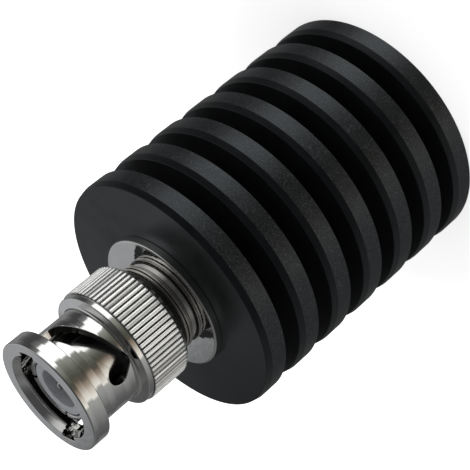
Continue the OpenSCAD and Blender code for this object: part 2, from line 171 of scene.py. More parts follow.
def finish_mesh(name: str, vertices: list[Point], faces: list[list[int]],
                sharp_angle: float) -> bpy.types.Object:
    """Makes a smooth-shaded object from points in millimetres.

    Args:
        name: Name of the object.
        vertices: Points in millimetres.
        faces: Faces as lists of point numbers.
        sharp_angle: Bend in degrees above which an edge stays sharp.

    Returns:
        The new object, linked to the scene.
    """
    mesh = bpy.data.meshes.new(name)
    mesh.from_pydata([Vector(v) * MM for v in vertices], [], faces)
    piece = linked(name, mesh)
    shade(piece, sharp_angle)
    return piece


def shade(piece: bpy.types.Object, sharp_angle: float) -> None:
    """Recalculates a mesh's normals and smooths it up to an angle.

    Args:
        piece: The mesh object.
        sharp_angle: Bend in degrees above which an edge stays sharp.
    """
    work = bmesh.new()
    work.from_mesh(piece.data)
    bmesh.ops.recalc_face_normals(work, faces=work.faces)
    work.to_mesh(piece.data)
    work.free()
    for polygon in piece.data.polygons:
        polygon.use_smooth = True
    piece.data.set_sharp_from_angle(angle=math.radians(sharp_angle))


def settle(piece: bpy.types.Object) -> None:
    """Applies a piece's modifiers to its mesh.

    Args:
        piece: The mesh object.
    """
    bpy.context.view_layer.update()
    graph = bpy.context.evaluated_depsgraph_get()
    mesh = bpy.data.meshes.new_from_object(piece.evaluated_get(graph),
                                           preserve_all_data_layers=True, depsgraph=graph)
    piece.modifiers.clear()
    piece.data = mesh


def weigh_normals(piece: bpy.types.Object) -> None:
    """Lets large faces decide the shading next to small roundings.

    The weighing fails on faces as small as these in metres, so the mesh is enlarged for it.

    Args:
        piece: The finished mesh object.
    """
    step = piece.modifiers.new("weigh", "WEIGHTED_NORMAL")
    step.keep_sharp = True
    piece.data.transform(Matrix.Scale(WEIGHING_SCALE, 4))
    settle(piece)
    piece.data.transform(Matrix.Scale(1 / WEIGHING_SCALE, 4))


def lathe(name: str, outline: Outline, segments: int = 256, sharp_angle: float = 40.0,
          radius: Callable[[float, float, float], float] | None = None) -> bpy.types.Object:
    """Turns a closed outline round the Z axis.

    Args:
        name: Name of the object.
        outline: Points of the outline as (r, z), in millimetres. Those with r = 0 meet at the axis.
        segments: Number of steps round the axis.
        sharp_angle: Bend in degrees above which an edge stays sharp.
        radius: Changes a point's distance from the axis, from (r, z, turn) with turn from 0 to 1.

    Returns:
        The new object.
    """
    vertices: list[Point] = []
    rings: list[list[int]] = []
    for r, z in outline:
        if r <= ON_AXIS:
            rings.append([len(vertices)] * segments)
            vertices.append((0.0, 0.0, z))
            continue
        ring = []
        for k in range(segments):
            turn = k / segments
            rr = radius(r, z, turn) if radius else r
            ring.append(len(vertices))
            vertices.append((rr * math.cos(turn * math.tau), rr * math.sin(turn * math.tau), z))
        rings.append(ring)
    faces: list[list[int]] = []
    for low, high in zip(rings, rings[1:] + rings[:1]):
        if low[0] == low[-1] and high[0] == high[-1]:
            continue
        for k in range(segments):
            n = (k + 1) % segments
            face = [low[k], low[n], high[n], high[k]]
            faces.append([v for i, v in enumerate(face) if v != face[i - 1]])
    return finish_mesh(name, vertices, faces, sharp_angle)


def prism(name: str, sections: list[list[Point]], sharp_angle: float = 30.0) -> bpy.types.Object:
    """Joins cross-sections of equal point count into one closed solid.

    Args:
        name: Name of the object.
        sections: The cross-sections, in millimetres.
        sharp_angle: Bend in degrees above which an edge stays sharp.

    Returns:
        The new object.
    """
    count = len(sections[0])
    vertices = [p for section in sections for p in section]
    faces = []
    for start in range(0, (len(sections) - 1) * count, count):
        for k in range(count):
            n = (k + 1) % count
            faces.append([start + k, start + n, start + count + n, start + count + k])
    faces.append(list(range(count)))
    faces.append(list(range((len(sections) - 1) * count, len(sections) * count)))
    return finish_mesh(name, vertices, faces, sharp_angle)


def cut(piece: bpy.types.Object, tools: list[bpy.types.Object],
        sharp_angle: float = 40.0) -> None:
    """Cuts tools out of a piece and deletes the tools.

    Args:
        piece: The mesh object to cut.
        tools: The closed meshes to take away.
        sharp_angle: Bend in degrees above which an edge stays sharp.
    """
    for tool in tools:
        step = piece.modifiers.new("cut", "BOOLEAN")
        step.operation = "DIFFERENCE"
        step.solver = "EXACT"
        step.object = tool
    settle(piece)
    for tool in tools:
        bpy.data.objects.remove(tool)
    shade(piece, sharp_angle)


def is_cut_wall(at: Vector, normal: Vector) -> bool:
    """Tells whether a face stands as the wall of a cut towards the axis does."""
    return abs(normal.xy.dot(at.xy.normalized())) < WALL_LEAN


# Finishes


class Nodes:
    """Short way to make and join shader nodes."""

    def __init__(self, owner: bpy.types.Material | bpy.types.World) -> None:
        """Empties the node tree of a material or world and keeps it."""
        owner.use_nodes = True
        self.tree = owner.node_tree
        self.tree.nodes.clear()

    def add(self, kind: str, inputs: dict[str | int, object] | None = None,
            **settings: object) -> bpy.types.Node:
        """Adds a node.

        Args:
            kind: Node type without its ShaderNode prefix.
            inputs: Values or output sockets by input name or number.
            **settings: Node properties.

        Returns:
            The new node.
        """
        node = self.tree.nodes.new("ShaderNode" + kind)
        for key, value in settings.items():
            setattr(node, key, value)
        for key, value in (inputs or {}).items():
            if isinstance(value, Socket):
                self.tree.links.new(value, node.inputs[key])
            else:
                node.inputs[key].default_value = value
        return node

    def math(self, operation: str, *values: object) -> Socket:
        """Adds a Math node and returns its output."""
        return self.add("Math", dict(enumerate(values)), operation=operation).outputs[0]

    def place(self) -> Socket:
        """Returns the place on the object, in metres."""
        return self.add("TexCoord").outputs["Object"]

    def axes(self, where: Socket) -> bpy.types.NodeOutputs:
        """Returns the x, y and z sockets of a place."""
        return self.add("SeparateXYZ", {0: where}).outputs

    def radius(self, where: Socket) -> Socket:
        """Returns the distance of a place from the axis, in metres."""
        x, y = self.axes(where)[:2]
        squares = self.math("ADD", self.math("MULTIPLY", x, x), self.math("MULTIPLY", y, y))
        return self.math("SQRT", squares)

    def noise(self, where: Socket, size: float, detail: float, roughness: float = 0.5) -> Socket:
        """Adds a noise of blobs of a size in millimetres, with finer layers on them."""
        return self.add("TexNoise", {"Vector": where, "Scale": 1 / (size * MM), "Detail": detail,
                                     "Roughness": roughness}).outputs["Fac"]

    def luck(self, number: Socket) -> Socket:
        """Returns a random value that is the same wherever the number is the same."""
        return self.add("TexWhiteNoise", {"W": number}, noise_dimensions="1D").outputs["Value"]

    def span(self, value: Socket, start: float, end: float, low: float = 0.0, high: float = 1.0,
             shape: str = "LINEAR") -> Socket:
        """Maps a value from start..end to low..high and clamps it there."""
        return self.add("MapRange", {0: value, 1: start, 2: end, 3: low, 4: high},
                        interpolation_type=shape).outputs[0]

    def mix(self, share: Socket, first: Socket | Colour, last: Socket | Colour) -> Socket:
        """Mixes a share of the last colour into the first."""
        sides = [side if isinstance(side, Socket) else (*side, 1) for side in (first, last)]
        return self.add("Mix", {0: share, 6: sides[0], 7: sides[1]}, data_type="RGBA").outputs[2]

    def ramp(self, value: Socket, stops: list[tuple[float, Colour]]) -> Socket:
        """Adds a colour ramp.

        Args:
            value: The socket that drives the ramp.
            stops: Places and colours of the stops.

        Returns:
            The ramp's colour output.
        """
        node = self.add("ValToRGB", {0: value})
        elements = node.color_ramp.elements
        while len(elements) > 1:
            elements.remove(elements[-1])
        elements[0].position, elements[0].color = stops[0][0], (*stops[0][1], 1.0)
        for place, colour in stops[1:]:
            elements.new(place).color = (*colour, 1.0)
        return node.outputs[0]


# Noise levels between which a patch goes from the base colour to the tint
PATCH_LEVELS = (0.35, 0.65)
# Noise levels between which a speck shows
SPECK_LEVELS = (0.53, 0.66)
SPECK_COLOUR = (0.039, 0.042, 0.047)
# Shares of the fine grain and of the patches in the roughness, and the levels that they span
GRAIN_SHARE = 0.35
PATCH_SHARE = 0.65
ROUGH_LEVELS = (0.3, 0.7)
# Colour of the painted shade at the bottom of a groove, and the share of the surface's own colour
# there
GROOVE_SHADE_COLOUR = (0.01, 0.01, 0.01)
GROOVE_OWN_COLOUR_SHARE = 0.05
# Colour of the dullest teeth, and how rare they are
DULL_TOOTH = (0.34, 0.34, 0.33)
TOOTH_POWER = 3.0
# How far the turning lines count a step along the axis against one out from it
LINE_RISE = 1.37
# Turn of the tangent that draws reflections out across the turning lines
CROSS_TURN = 0.25


@dataclass(frozen=True)
class Finish:
    """One turned or moulded surface finish.

    Attributes:
        name: Name of the material.
        colour: Base colour.
        tint: Second colour that the surface drifts to in patches.
        metallic: 1 for bare metal.
        roughness: Mean roughness.
        roughness_drift: How far the roughness changes over the surface.
        patch: Size of the colour and roughness patches, in millimetres.
        grain: Size of the fine grain, in millimetres.
        grain_depth: Height of the fine grain, in micrometres.
        line_pitch: Pitch of the turning lines, in millimetres, or 0 for none.
        line_depth: Height of the turning lines, in micrometres.
        specular: Specular level.
        stretch: How far reflections are drawn out across the turning lines, or along them if
            negative.
        band: Width of the bands that the tool left along the axis, in millimetres, or 0 for none.
        band_twist: Most that such a band shifts its reflections round the axis, in degrees.
        groove: Distances from the axis, in millimetres, between which painted shade at the
        groove's floor gives way to the surface's own colour.
        teeth: Number of teeth round the axis that differ a little in shade, or 0 for none.
        shine: Tint of the reflections of a coat that isn't metal.
        speckle: How strongly paler specks show in the coat, from 0 to 1.
        ripple: Height of the slight waviness that polishing leaves, in micrometres.
        ripple_size: Size of that waviness, in millimetres.
    """

    name: str
    colour: Colour
    tint: Colour
    metallic: float = 1.0
    roughness: float = 0.4
    roughness_drift: float = 0.06
    patch: float = 3.0
    grain: float = 0.05
    grain_depth: float = 1.0
    line_pitch: float = 0.0
    line_depth: float = 0.0
    specular: float = 0.5
    stretch: float = 0.0
    band: float = 0.0
    band_twist: float = 0.0
    groove: tuple[float, float] = (0.0, 0.0)
    teeth: int = 0
    shine: Colour = (1.0, 1.0, 1.0)
    speckle: float = 0.0
    ripple: float = 0.0
    ripple_size: float = 0.8

    def material(self) -> bpy.types.Material:
        """Builds the material.

        Returns:
            The new material.
        """
        material = bpy.data.materials.new(self.name)
        kit = Nodes(material)
        where = kit.place()
        patches = kit.noise(where, self.patch, 4.0, 0.6)
        fine = kit.noise(where, self.grain, 2.0)
        blend = kit.math("MULTIPLY_ADD", fine, GRAIN_SHARE,
                         kit.math("MULTIPLY", patches, PATCH_SHARE))
        rough = kit.span(blend, *ROUGH_LEVELS, self.roughness - self.roughness_drift,
                         self.roughness + self.roughness_drift)
        shader = kit.add("BsdfPrincipled", {
            "Base Color": self.base_colour(kit, where, patches, fine), "Metallic": self.metallic,
            "Roughness": rough, "Normal": self.relief(kit, where, fine),
            "Specular IOR Level": self.specular, "Specular Tint": (*self.shine, 1)})
        if self.stretch:
            shader.inputs["Anisotropic"].default_value = abs(self.stretch)
            turn = CROSS_TURN if self.stretch > 0 else 0.0
            shader.inputs["Anisotropic Rotation"].default_value = turn
            tangent = kit.add("Tangent", direction_type="RADIAL", axis="Z")
            kit.tree.links.new(tangent.outputs[0], shader.inputs["Tangent"])
        kit.add("OutputMaterial", {"Surface": shader.outputs[0]})
        return material

    def base_colour(self, kit: Nodes, where: Socket, patches: Socket, fine: Socket) -> Socket:
        """Base colour with its patches, grooves, teeth and specks.

        Args:
            kit: Node maker.
            where: Place on the object.
            patches: Noise of the patches.
            fine: Noise of the fine grain.

        Returns:
            The colour socket.
        """
        colour = kit.mix(kit.span(patches, *PATCH_LEVELS), self.colour, self.tint)
        # Painted shade: the colour goes dark towards the floor of each knurl groove, where shade
        # falls
        if self.groove[1] > 0:
            floor, crest = self.groove
            unshaded = kit.span(kit.radius(where), floor * MM, crest * MM, GROOVE_OWN_COLOUR_SHARE)
            colour = kit.mix(unshaded, GROOVE_SHADE_COLOUR, colour)
        if self.teeth > 0:
            colour = kit.mix(self.tooth_luck(kit, where), colour, DULL_TOOTH)
        if self.speckle > 0:
            speck = kit.span(fine, *SPECK_LEVELS, 0.0, self.speckle)
            colour = kit.mix(speck, colour, SPECK_COLOUR)
        return colour

    def relief(self, kit: Nodes, where: Socket, fine: Socket) -> Socket:
        """Normal with the grain, the ripple, the turning lines and the bands.

        Args:
            kit: Node maker.
            where: Place on the object.
            fine: Noise of the fine grain.

        Returns:
            The normal socket.
        """
        height = kit.math("MULTIPLY", fine, self.grain_depth * MICRON)
        if self.ripple > 0:
            wave = kit.noise(where, self.ripple_size, 1.0)
            height = kit.math("MULTIPLY_ADD", wave, self.ripple * MICRON, height)
        if self.line_pitch > 0:
            height = kit.math("ADD", height, self.turning_lines(kit, where))
        bump = kit.add("Bump", {"Height": height, "Distance": 1.0, "Strength": 1.0})
        if self.band > 0:
            kit.tree.links.new(self.banded_normal(kit, where), bump.inputs["Normal"])
        return bump.outputs[0]

    def banded_normal(self, kit: Nodes, where: Socket) -> Socket:
        """Normal that steps a little round the axis from band to band, as on turned rings.

        Args:
            kit: Node maker.
            where: Place on the object.

        Returns:
            The normal socket.
        """
        row = kit.math("FLOOR", kit.math("DIVIDE", kit.axes(where)[2], self.band * MM))
        angle = kit.math("MULTIPLY", kit.math("SUBTRACT", kit.luck(row), 0.5),
                         2 * math.radians(self.band_twist))
        normal = kit.add("NewGeometry").outputs["Normal"]
        return kit.add("VectorRotate", {"Vector": normal, "Angle": angle},
                       rotation_type="Z_AXIS").outputs[0]

    def tooth_luck(self, kit: Nodes, where: Socket) -> Socket:
        """Share from 0 to 1 that is the same all along a tooth and differs from tooth to tooth.

        Args:
            kit: Node maker.
            where: Place on the object.

        Returns:
            The share socket.
        """
        x, y = kit.axes(where)[:2]
        turn = kit.math("MULTIPLY", kit.math("ARCTAN2", y, x), self.teeth / math.tau)
        return kit.math("POWER", kit.luck(kit.math("FLOOR", turn)), TOOTH_POWER)

    def turning_lines(self, kit: Nodes, where: Socket) -> Socket:
        """Height of fine lines round the axis, on faces and rims alike.

        Args:
            kit: Node maker.
            where: Place on the object.

        Returns:
            The height socket, in metres.
        """
        rise = kit.math("MULTIPLY", kit.axes(where)[2], LINE_RISE)
        line = kit.add("CombineXYZ", {0: kit.math("ADD", kit.radius(where), rise)})
        noise = kit.noise(line.outputs[0], self.line_pitch, 3.0, 0.7)
        return kit.math("MULTIPLY", noise, self.line_depth * MICRON)


BLACK_COAT = Finish(
    "black anodised aluminium", (0.002, 0.0021, 0.0023), (0.003, 0.0032, 0.0035), metallic=0.0,
    roughness=0.32, roughness_drift=0.05, grain=0.15, grain_depth=10.0, line_pitch=0.12,
    line_depth=1.2, specular=0.46, stretch=-0.6, shine=(0.84, 0.93, 1.0), speckle=0.04)
FINISHES: dict[Slot | Zone, Finish] = {
    Slot.BLACK: BLACK_COAT,
    Zone.RIM: replace(BLACK_COAT, name="black anodised rim", speckle=0.75),
    Slot.NICKEL: Finish(
        "bright nickel plate", (0.71, 0.71, 0.705), (0.65, 0.65, 0.64), roughness=0.04,
        roughness_drift=0.02, patch=2.0, grain=0.06, grain_depth=0.12, line_pitch=0.09,
        line_depth=0.3, band=0.75, band_twist=3.0, ripple=8.0),
    # Partly real nickel, partly painted sheen and shade: the near-white base at half metallic gives
    # a diffuse white that stands in for the crests' bright reflections, and the grooves go dark
    # with painted shade
    Zone.KNURL: Finish(
        "nickel knurl with painted sheen", (0.98, 0.98, 0.97), (0.88, 0.88, 0.87), metallic=0.5,
        roughness=0.13, patch=0.8, grain=0.06, grain_depth=0.5, groove=(7.13, 7.2), teeth=72),
    # Painted shade: the slot walls are near black, as they look in the shade of the slot
    Zone.SHADED_SLOT_WALL: Finish(
        "slot wall painted in shade", (0.09, 0.086, 0.08), (0.05, 0.048, 0.045), roughness=0.22,
        roughness_drift=0.08, patch=0.8),
    Zone.NECK: Finish(
        "turned neck", (0.68, 0.66, 0.62), (0.5, 0.48, 0.45), roughness=0.06,
        roughness_drift=0.03, patch=1.5, grain=0.06, grain_depth=0.2, line_pitch=0.07,
        line_depth=0.3, band=0.45, band_twist=4.0),
    # Painted shade: a dark finish for the root groove, the neck under the sleeve's rear and the saw
    # slots' walls
    Zone.SHADED_RECESS: Finish(
        "recess painted in shade", (0.22, 0.21, 0.2), (0.15, 0.14, 0.13), roughness=0.2, patch=0.6,
        grain_depth=0.4),
    Slot.CONTACT: Finish(
        "nickel plated contact", (0.7, 0.7, 0.69), (0.64, 0.63, 0.62), roughness=0.16,
        roughness_drift=0.05, patch=1.5, grain_depth=0.6, line_pitch=0.08, line_depth=0.8),
    Slot.STEEL: Finish(
        "spring steel", (0.42, 0.42, 0.43), (0.34, 0.34, 0.36), roughness=0.3, patch=1.5,
        grain_depth=0.6),
    Slot.RUBBER: Finish(
        "silicone rubber", (0.05, 0.05, 0.055), (0.07, 0.07, 0.072), metallic=0.0,
        roughness=0.65, roughness_drift=0.08, patch=1.0, grain=0.08, grain_depth=2.0),
    Slot.SILVER: Finish(
        "silver plate", (0.6, 0.6, 0.59), (0.5, 0.5, 0.49), roughness=0.14,
        roughness_drift=0.04, patch=0.8, grain=0.04, grain_depth=0.4, line_pitch=0.06,
        line_depth=0.5),
    # Painted shade: the white insulator is given a mid grey, as it looks in the shade of the bore
    Slot.PLASTIC: Finish(
        "white fluoropolymer painted grey with shade", (0.21, 0.219, 0.232), (0.18, 0.187, 0.198), metallic=0.0,
        roughness=0.45, roughness_drift=0.08, patch=1.0, grain=0.06, line_pitch=0.1,
        line_depth=1.5),
    Slot.TIN: Finish(
        "tinned brass", (0.6, 0.6, 0.6), (0.5, 0.5, 0.51), roughness=0.32,
        roughness_drift=0.08, patch=0.8),
    Slot.CERAMIC: Finish(
        "alumina ceramic", (0.78, 0.76, 0.7), (0.7, 0.68, 0.62), metallic=0.0, roughness=0.6,
        roughness_drift=0.08, patch=0.6, grain_depth=1.5),
    Slot.FILM: Finish(
        "resistive film", (0.07, 0.065, 0.06), (0.1, 0.09, 0.08), metallic=0.0, roughness=0.5,
        roughness_drift=0.08, patch=0.5, grain=0.04),
    Slot.BRASS: Finish(
        "bare brass", (0.62, 0.43, 0.16), (0.52, 0.35, 0.13), roughness=0.26, patch=1.2,
        grain_depth=0.6, line_pitch=0.1, line_depth=1.0),
}
MADE: dict[Slot | Zone, bpy.types.Material] = {}


def coat(finish: Slot | Zone) -> bpy.types.Material:
    """Returns the material of a finish, which is built once."""
    if finish not in MADE:
        MADE[finish] = FINISHES[finish].material()
    return MADE[finish]


def dress(piece: bpy.types.Object, slot: Slot) -> None:
    """Gives a piece the finish of a slot of the record."""
    piece.data.materials.clear()
    piece.data.materials.append(coat(slot))


def dress_zone(piece: bpy.types.Object, zone: Zone,
               inside: Callable[[Vector, Vector], bool]) -> None:
    """Gives part of a dressed piece a finish of its own.

    Args:
        piece: The mesh object, which has its main finish.
        zone: The finish.
        inside: Tells from a face's centre, in millimetres, and its normal whether it is in the
            zone.
    """
    piece.data.materials.append(coat(zone))
    number = len(piece.data.materials) - 1
    for polygon in piece.data.polygons:
        if inside(polygon.center / MM, polygon.normal):
            polygon.material_index = number


def place(piece: bpy.types.Object, body: Body, slot: Slot, node: str) -> None:
    """Dresses a new piece, hangs it on its body and lets it stand for its CAD node.

    Args:
        piece: The mesh object.
        body: The CAD body that it rides on.
        slot: The record's material slot.
        node: The CAD node that it replaces.
    """
    weigh_normals(piece)
    dress(piece, slot)
    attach(piece, body.value)
    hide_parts(node)
    LOG.info("%s: %d faces", piece.name, len(piece.data.polygons))


# Sub-assemblies


@dataclass
class HeatSink:
    """The turned, black heat sink. Sizes in millimetres."""

    radius: float = 15.0
    core: float = 9.0
    fin: float = 2.95
    gap: float = 2.43
    count: int = 7
    bevel_len: float = 0.8
    bevel_depth: float = 0.2
    bevel_round: float = 0.3
    edge: float = 0.08
    root: float = 0.5
    bore: float = 5.0
    bore_edge: float = 0.2
    floor: float = 7.4
    drill_point: float = 3.0
    rim_depth: float = 0.05
    rim_lean: float = 0.1

    def outline(self) -> Outline:
        """Draws the half outline of the heat sink.

        Returns:
            The outline's points.
        """
        corners = [(0, 0)]
        for i in range(self.count):
            z = i * (self.fin + self.gap)
            top = z + self.fin
            if i > 0:
                corners.append((self.core, z, self.root, 5))
            corners += [(self.radius, z, self.edge, 3),
                (self.radius, top - self.bevel_len, self.bevel_round, 3),
                (self.radius - self.bevel_depth, top, self.edge, 3)]
            if i < self.count - 1:
                corners.append((self.core, top, self.root, 5))
        length = self.count * self.fin + (self.count - 1) * self.gap
        corners += [(self.bore, length, self.bore_edge, 2), (self.bore, self.floor),
            (0, self.floor - self.drill_point)]
        return rounded(corners)

    def build(self) -> None:
        """Builds and dresses the heat sink."""
        piece = lathe("heat_sink_turned", self.outline(), segments=320)
        place(piece, Body.LOAD, Slot.BLACK, "heat_sink")
        dress_zone(piece, Zone.RIM, lambda at, normal: at.xy.length > self.radius - self.rim_depth
                   and abs(normal.z) < self.rim_lean)


@dataclass
class Plug:
    """The collar, neck and contacts of the plug, with corners as (r, z, fillet, steps)."""

    body_corners: Corners = (
        # Spigot in the heat sink, with a relief at each end
        (4.2, 28.23), (4.7, 28.23), (5.0, 28.53), (5.0, 34.63), (4.7, 34.63), (4.7, 35.23),
        # Collar, and the root of the neck
        (8.36, 35.23, 0.08, 2), (8.36, 36.23, 0.22, 6), (5.2, 36.23), (5.2, 36.48), (5.2, 36.7),
        # Neck with one fine line and two deeper ones
        (5.5, 36.7, 0.1, 3), (5.5, 36.86), (5.44, 36.88), (5.44, 36.94), (5.5, 36.96),
        (5.5, 37.2, 0.03, 2), (5.36, 37.23), (5.36, 37.35), (5.5, 37.38, 0.03, 2),
        (5.5, 37.7, 0.03, 2), (5.36, 37.73), (5.36, 37.85), (5.5, 37.88, 0.03, 2),
        (5.5, 40.1, 0.1, 3),
        # Journal with the groove of the retaining ring
        (4.25, 40.1), (4.25, 42.94), (3.95, 42.94), (3.95, 43.39), (4.25, 43.39), (4.25, 43.59),
        # Socket of the contact's shank
        (3.45, 43.59), (3.45, 37.24), (4.2, 37.24))
    contact_corners: Corners = (
        (2.95, 39.39), (3.45, 39.39), (3.45, 43.59), (4.05, 43.59), (4.05, 51.82, 0.16, 4),
        (3.5, 51.82, 0.2, 4), (3.5, 44.39), (2.95, 44.39))
    pin_corners: Corners = (
        (0, 34.24), (0.8, 34.24), (0.8, 40.39), (1.0, 40.39), (1.0, 45.19), (0.675, 45.19),
        (0.675, 51.52, 0.5, 6), (0, 51.52))
    insulator_corners: Corners = (
        # Web
        (0.8, 39.39), (2.95, 39.39), (2.95, 44.39), (3.5, 44.39), (3.5, 45.19),
        # Sleeve that lines the contact
        (3.43, 45.19), (3.43, 51.67, 0.07, 3), (2.45, 51.67, 0.1, 3), (2.45, 45.19),
        # Bore of the pin
        (1.0, 45.19), (1.0, 40.39), (0.8, 40.39))
    journal: float = 4.25
    # Height above which the root groove gets painted shade
    root_shade_z: float = 36.48
    neck_z: float = 36.7
    neck_floor: float = 5.46
    lines_end: float = 37.88
    saw_turn: float = 45.0
    saw_w: float = 0.4
    saw_reach: float = 5.0
    saw_zs: tuple[float, float] = (46.82, 53.0)

    def body(self) -> None:
        """Builds the collar, neck and spigot, which are one turned piece."""
        piece = lathe("plug_body_turned", rounded(self.body_corners), segments=256)
        place(piece, Body.LOAD, Slot.NICKEL, "plug_body")
        dress_zone(piece, Zone.NECK,
                   lambda at, normal: at.z > self.neck_z and at.xy.length > self.neck_floor)
        # Painted shade on the root groove and on the neck under the sleeve's rear
        dress_zone(piece, Zone.SHADED_RECESS,
                   lambda at, normal: at.z > self.root_shade_z and self.journal < at.xy.length
                   and (at.xy.length < self.neck_floor or at.z > self.lines_end))

    def contact(self) -> None:
        """Builds the slotted outer contact."""
        piece = lathe("outer_contact_turned", rounded(self.contact_corners), segments=192)
        low, top = self.saw_zs
        blade = [(-self.saw_reach, low), (self.saw_reach, low),
                 (self.saw_reach, top), (-self.saw_reach, top)]
        tools = []
        for k in range(2):
            tool = prism(f"saw_{k}", [[(x, y, z) for x, z in blade]
                                      for y in (-self.saw_w / 2, self.saw_w / 2)])
            tool.rotation_euler.z = math.radians(self.saw_turn + 90 * k)
            tools.append(tool)
        cut(piece, tools)
        place(piece, Body.LOAD, Slot.CONTACT, "outer_contact")
        # Painted shade on the walls of the saw slots
        dress_zone(piece, Zone.SHADED_RECESS,
                   lambda at, normal: at.z > low and abs(normal.z) < WALL_LEAN
                   and is_cut_wall(at, normal))

    def build(self) -> None:
        """Builds all the plug's fixed pieces."""
        self.body()
        self.contact()
        pin = lathe("center_pin_turned", rounded(self.pin_corners), segments=64)
        place(pin, Body.LOAD, Slot.SILVER, "center_pin")
        insulator = lathe("front_insulator_turned", rounded(self.insulator_corners), segments=128)
        place(insulator, Body.LOAD, Slot.PLASTIC, "front_insulator")


@dataclass
class BayonetSlot:
    """Path of one slot on the unrolled barrel. Sizes in millimetres, angles in degrees."""

    barrel: float = 5.82
    width: float = 2.3
    entry: float = 33.0
    start_h: float = 10.42
    ramp_turn: float = 78.0
    rise: float = 2.7
    detent_turn: float = 8.5
    detent_step: float = 0.88
    entry_steps: int = 10
    mouth_steps: int = 4
    run_steps: int = 60
    end_steps: int = 14
    end_turn: float = 88.0
    mouth_gap: float = 0.01

    def points(self) -> tuple[Vector, Vector, Vector]:
        """Places the bends of the slot's middle line.

        Returns:
            The start, low and stop points as arc length and height.
        """
        per_degree = math.radians(self.barrel)
        start = Vector((self.entry * per_degree, self.start_h))
        low = start + Vector((self.ramp_turn * per_degree, -self.rise))
        return start, low, low + Vector((self.detent_turn * per_degree, self.detent_step))

    def walls(self, grow: float, top: float) -> list[Point]:
        """Heights of the slot's two walls at stations along it.

        Args:
            grow: Distance by which the slot is widened all round.
            top: Height of the open end of the entry.

        Returns:
            Arc length, rear wall height and front wall height of each station.
        """
        start, low, stop = self.points()
        half = self.width / 2 + grow
        ramp = math.atan2(low.y - start.y, low.x - start.x)
        step = math.atan2(stop.y - low.y, stop.x - low.x)

        def end(p: Vector, x: float, side: int) -> float:
            """Height of the wall round a bend."""
            return p.y + side * math.sqrt(max(0.0, half * half - (x - p.x) ** 2))

        def run(p: Vector, slope: float, x: float, side: int) -> float:
            """Height of the wall along a straight run."""
            return p.y + (x - p.x) * math.tan(slope) + side * half / math.cos(slope)

        def rear(x: float) -> float:
            """Height of the rear wall."""
            if x < start.x + half * math.sin(ramp):
                return end(start, x, -1)
            if x < low.x + half * math.sin(ramp):
                return run(start, ramp, x, -1)
            if x < low.x + half * math.sin(step):
                return end(low, x, -1)
            if x < stop.x + half * math.sin(step):
                return run(low, step, x, -1)
            return end(stop, x, -1)

        def front(x: float) -> float:
            """Height of the front wall."""
            if x < stop.x - half * math.sin(step):
                return max(run(start, ramp, x, 1), run(low, step, x, 1))
            return end(stop, x, 1)

        stations = [(start.x - half * math.cos(math.pi / 2 * i / self.entry_steps), True)
                    for i in range(self.entry_steps + 1)]
        stations += [(start.x + half * i / self.mouth_steps, True)
                     for i in range(1, self.mouth_steps + 1)]
        first = start.x + half + self.mouth_gap
        stations += [(first + (stop.x - first) * i / self.run_steps, False)
                     for i in range(self.run_steps + 1)]
        stations += [(stop.x + half * math.sin(math.radians(self.end_turn) * i / self.end_steps),
                      False) for i in range(1, self.end_steps + 1)]
        return [(x, rear(x), top if mouth else front(x)) for x, mouth in stations]

    def on_barrel(self, r: float, x: float, h: float) -> Point:
        """Rolls a place on the unrolled barrel round the axis at a radius."""
        a = -x / self.barrel
        return r * math.cos(a), r * math.sin(a), h

    def cutter(self, name: str, rings: list[tuple[float, float]], top: float) -> bpy.types.Object:
        """Makes a cutter for the slot through the barrel.

        Args:
            name: Name of the tool.
            rings: Radius and widening of each layer, from the inside out.
            top: Height of the open end of the entry.

        Returns:
            The closed cutter mesh.
        """
        layers = [(r, self.walls(grow, top)) for r, grow in rings]
        sections = []
        for i in range(len(layers[0][1])):
            rear = [self.on_barrel(r, walls[i][0], walls[i][1]) for r, walls in layers]
            front = [self.on_barrel(r, walls[i][0], walls[i][2]) for r, walls in layers]
            sections.append(rear + front[::-1])
        return prism(name, sections)


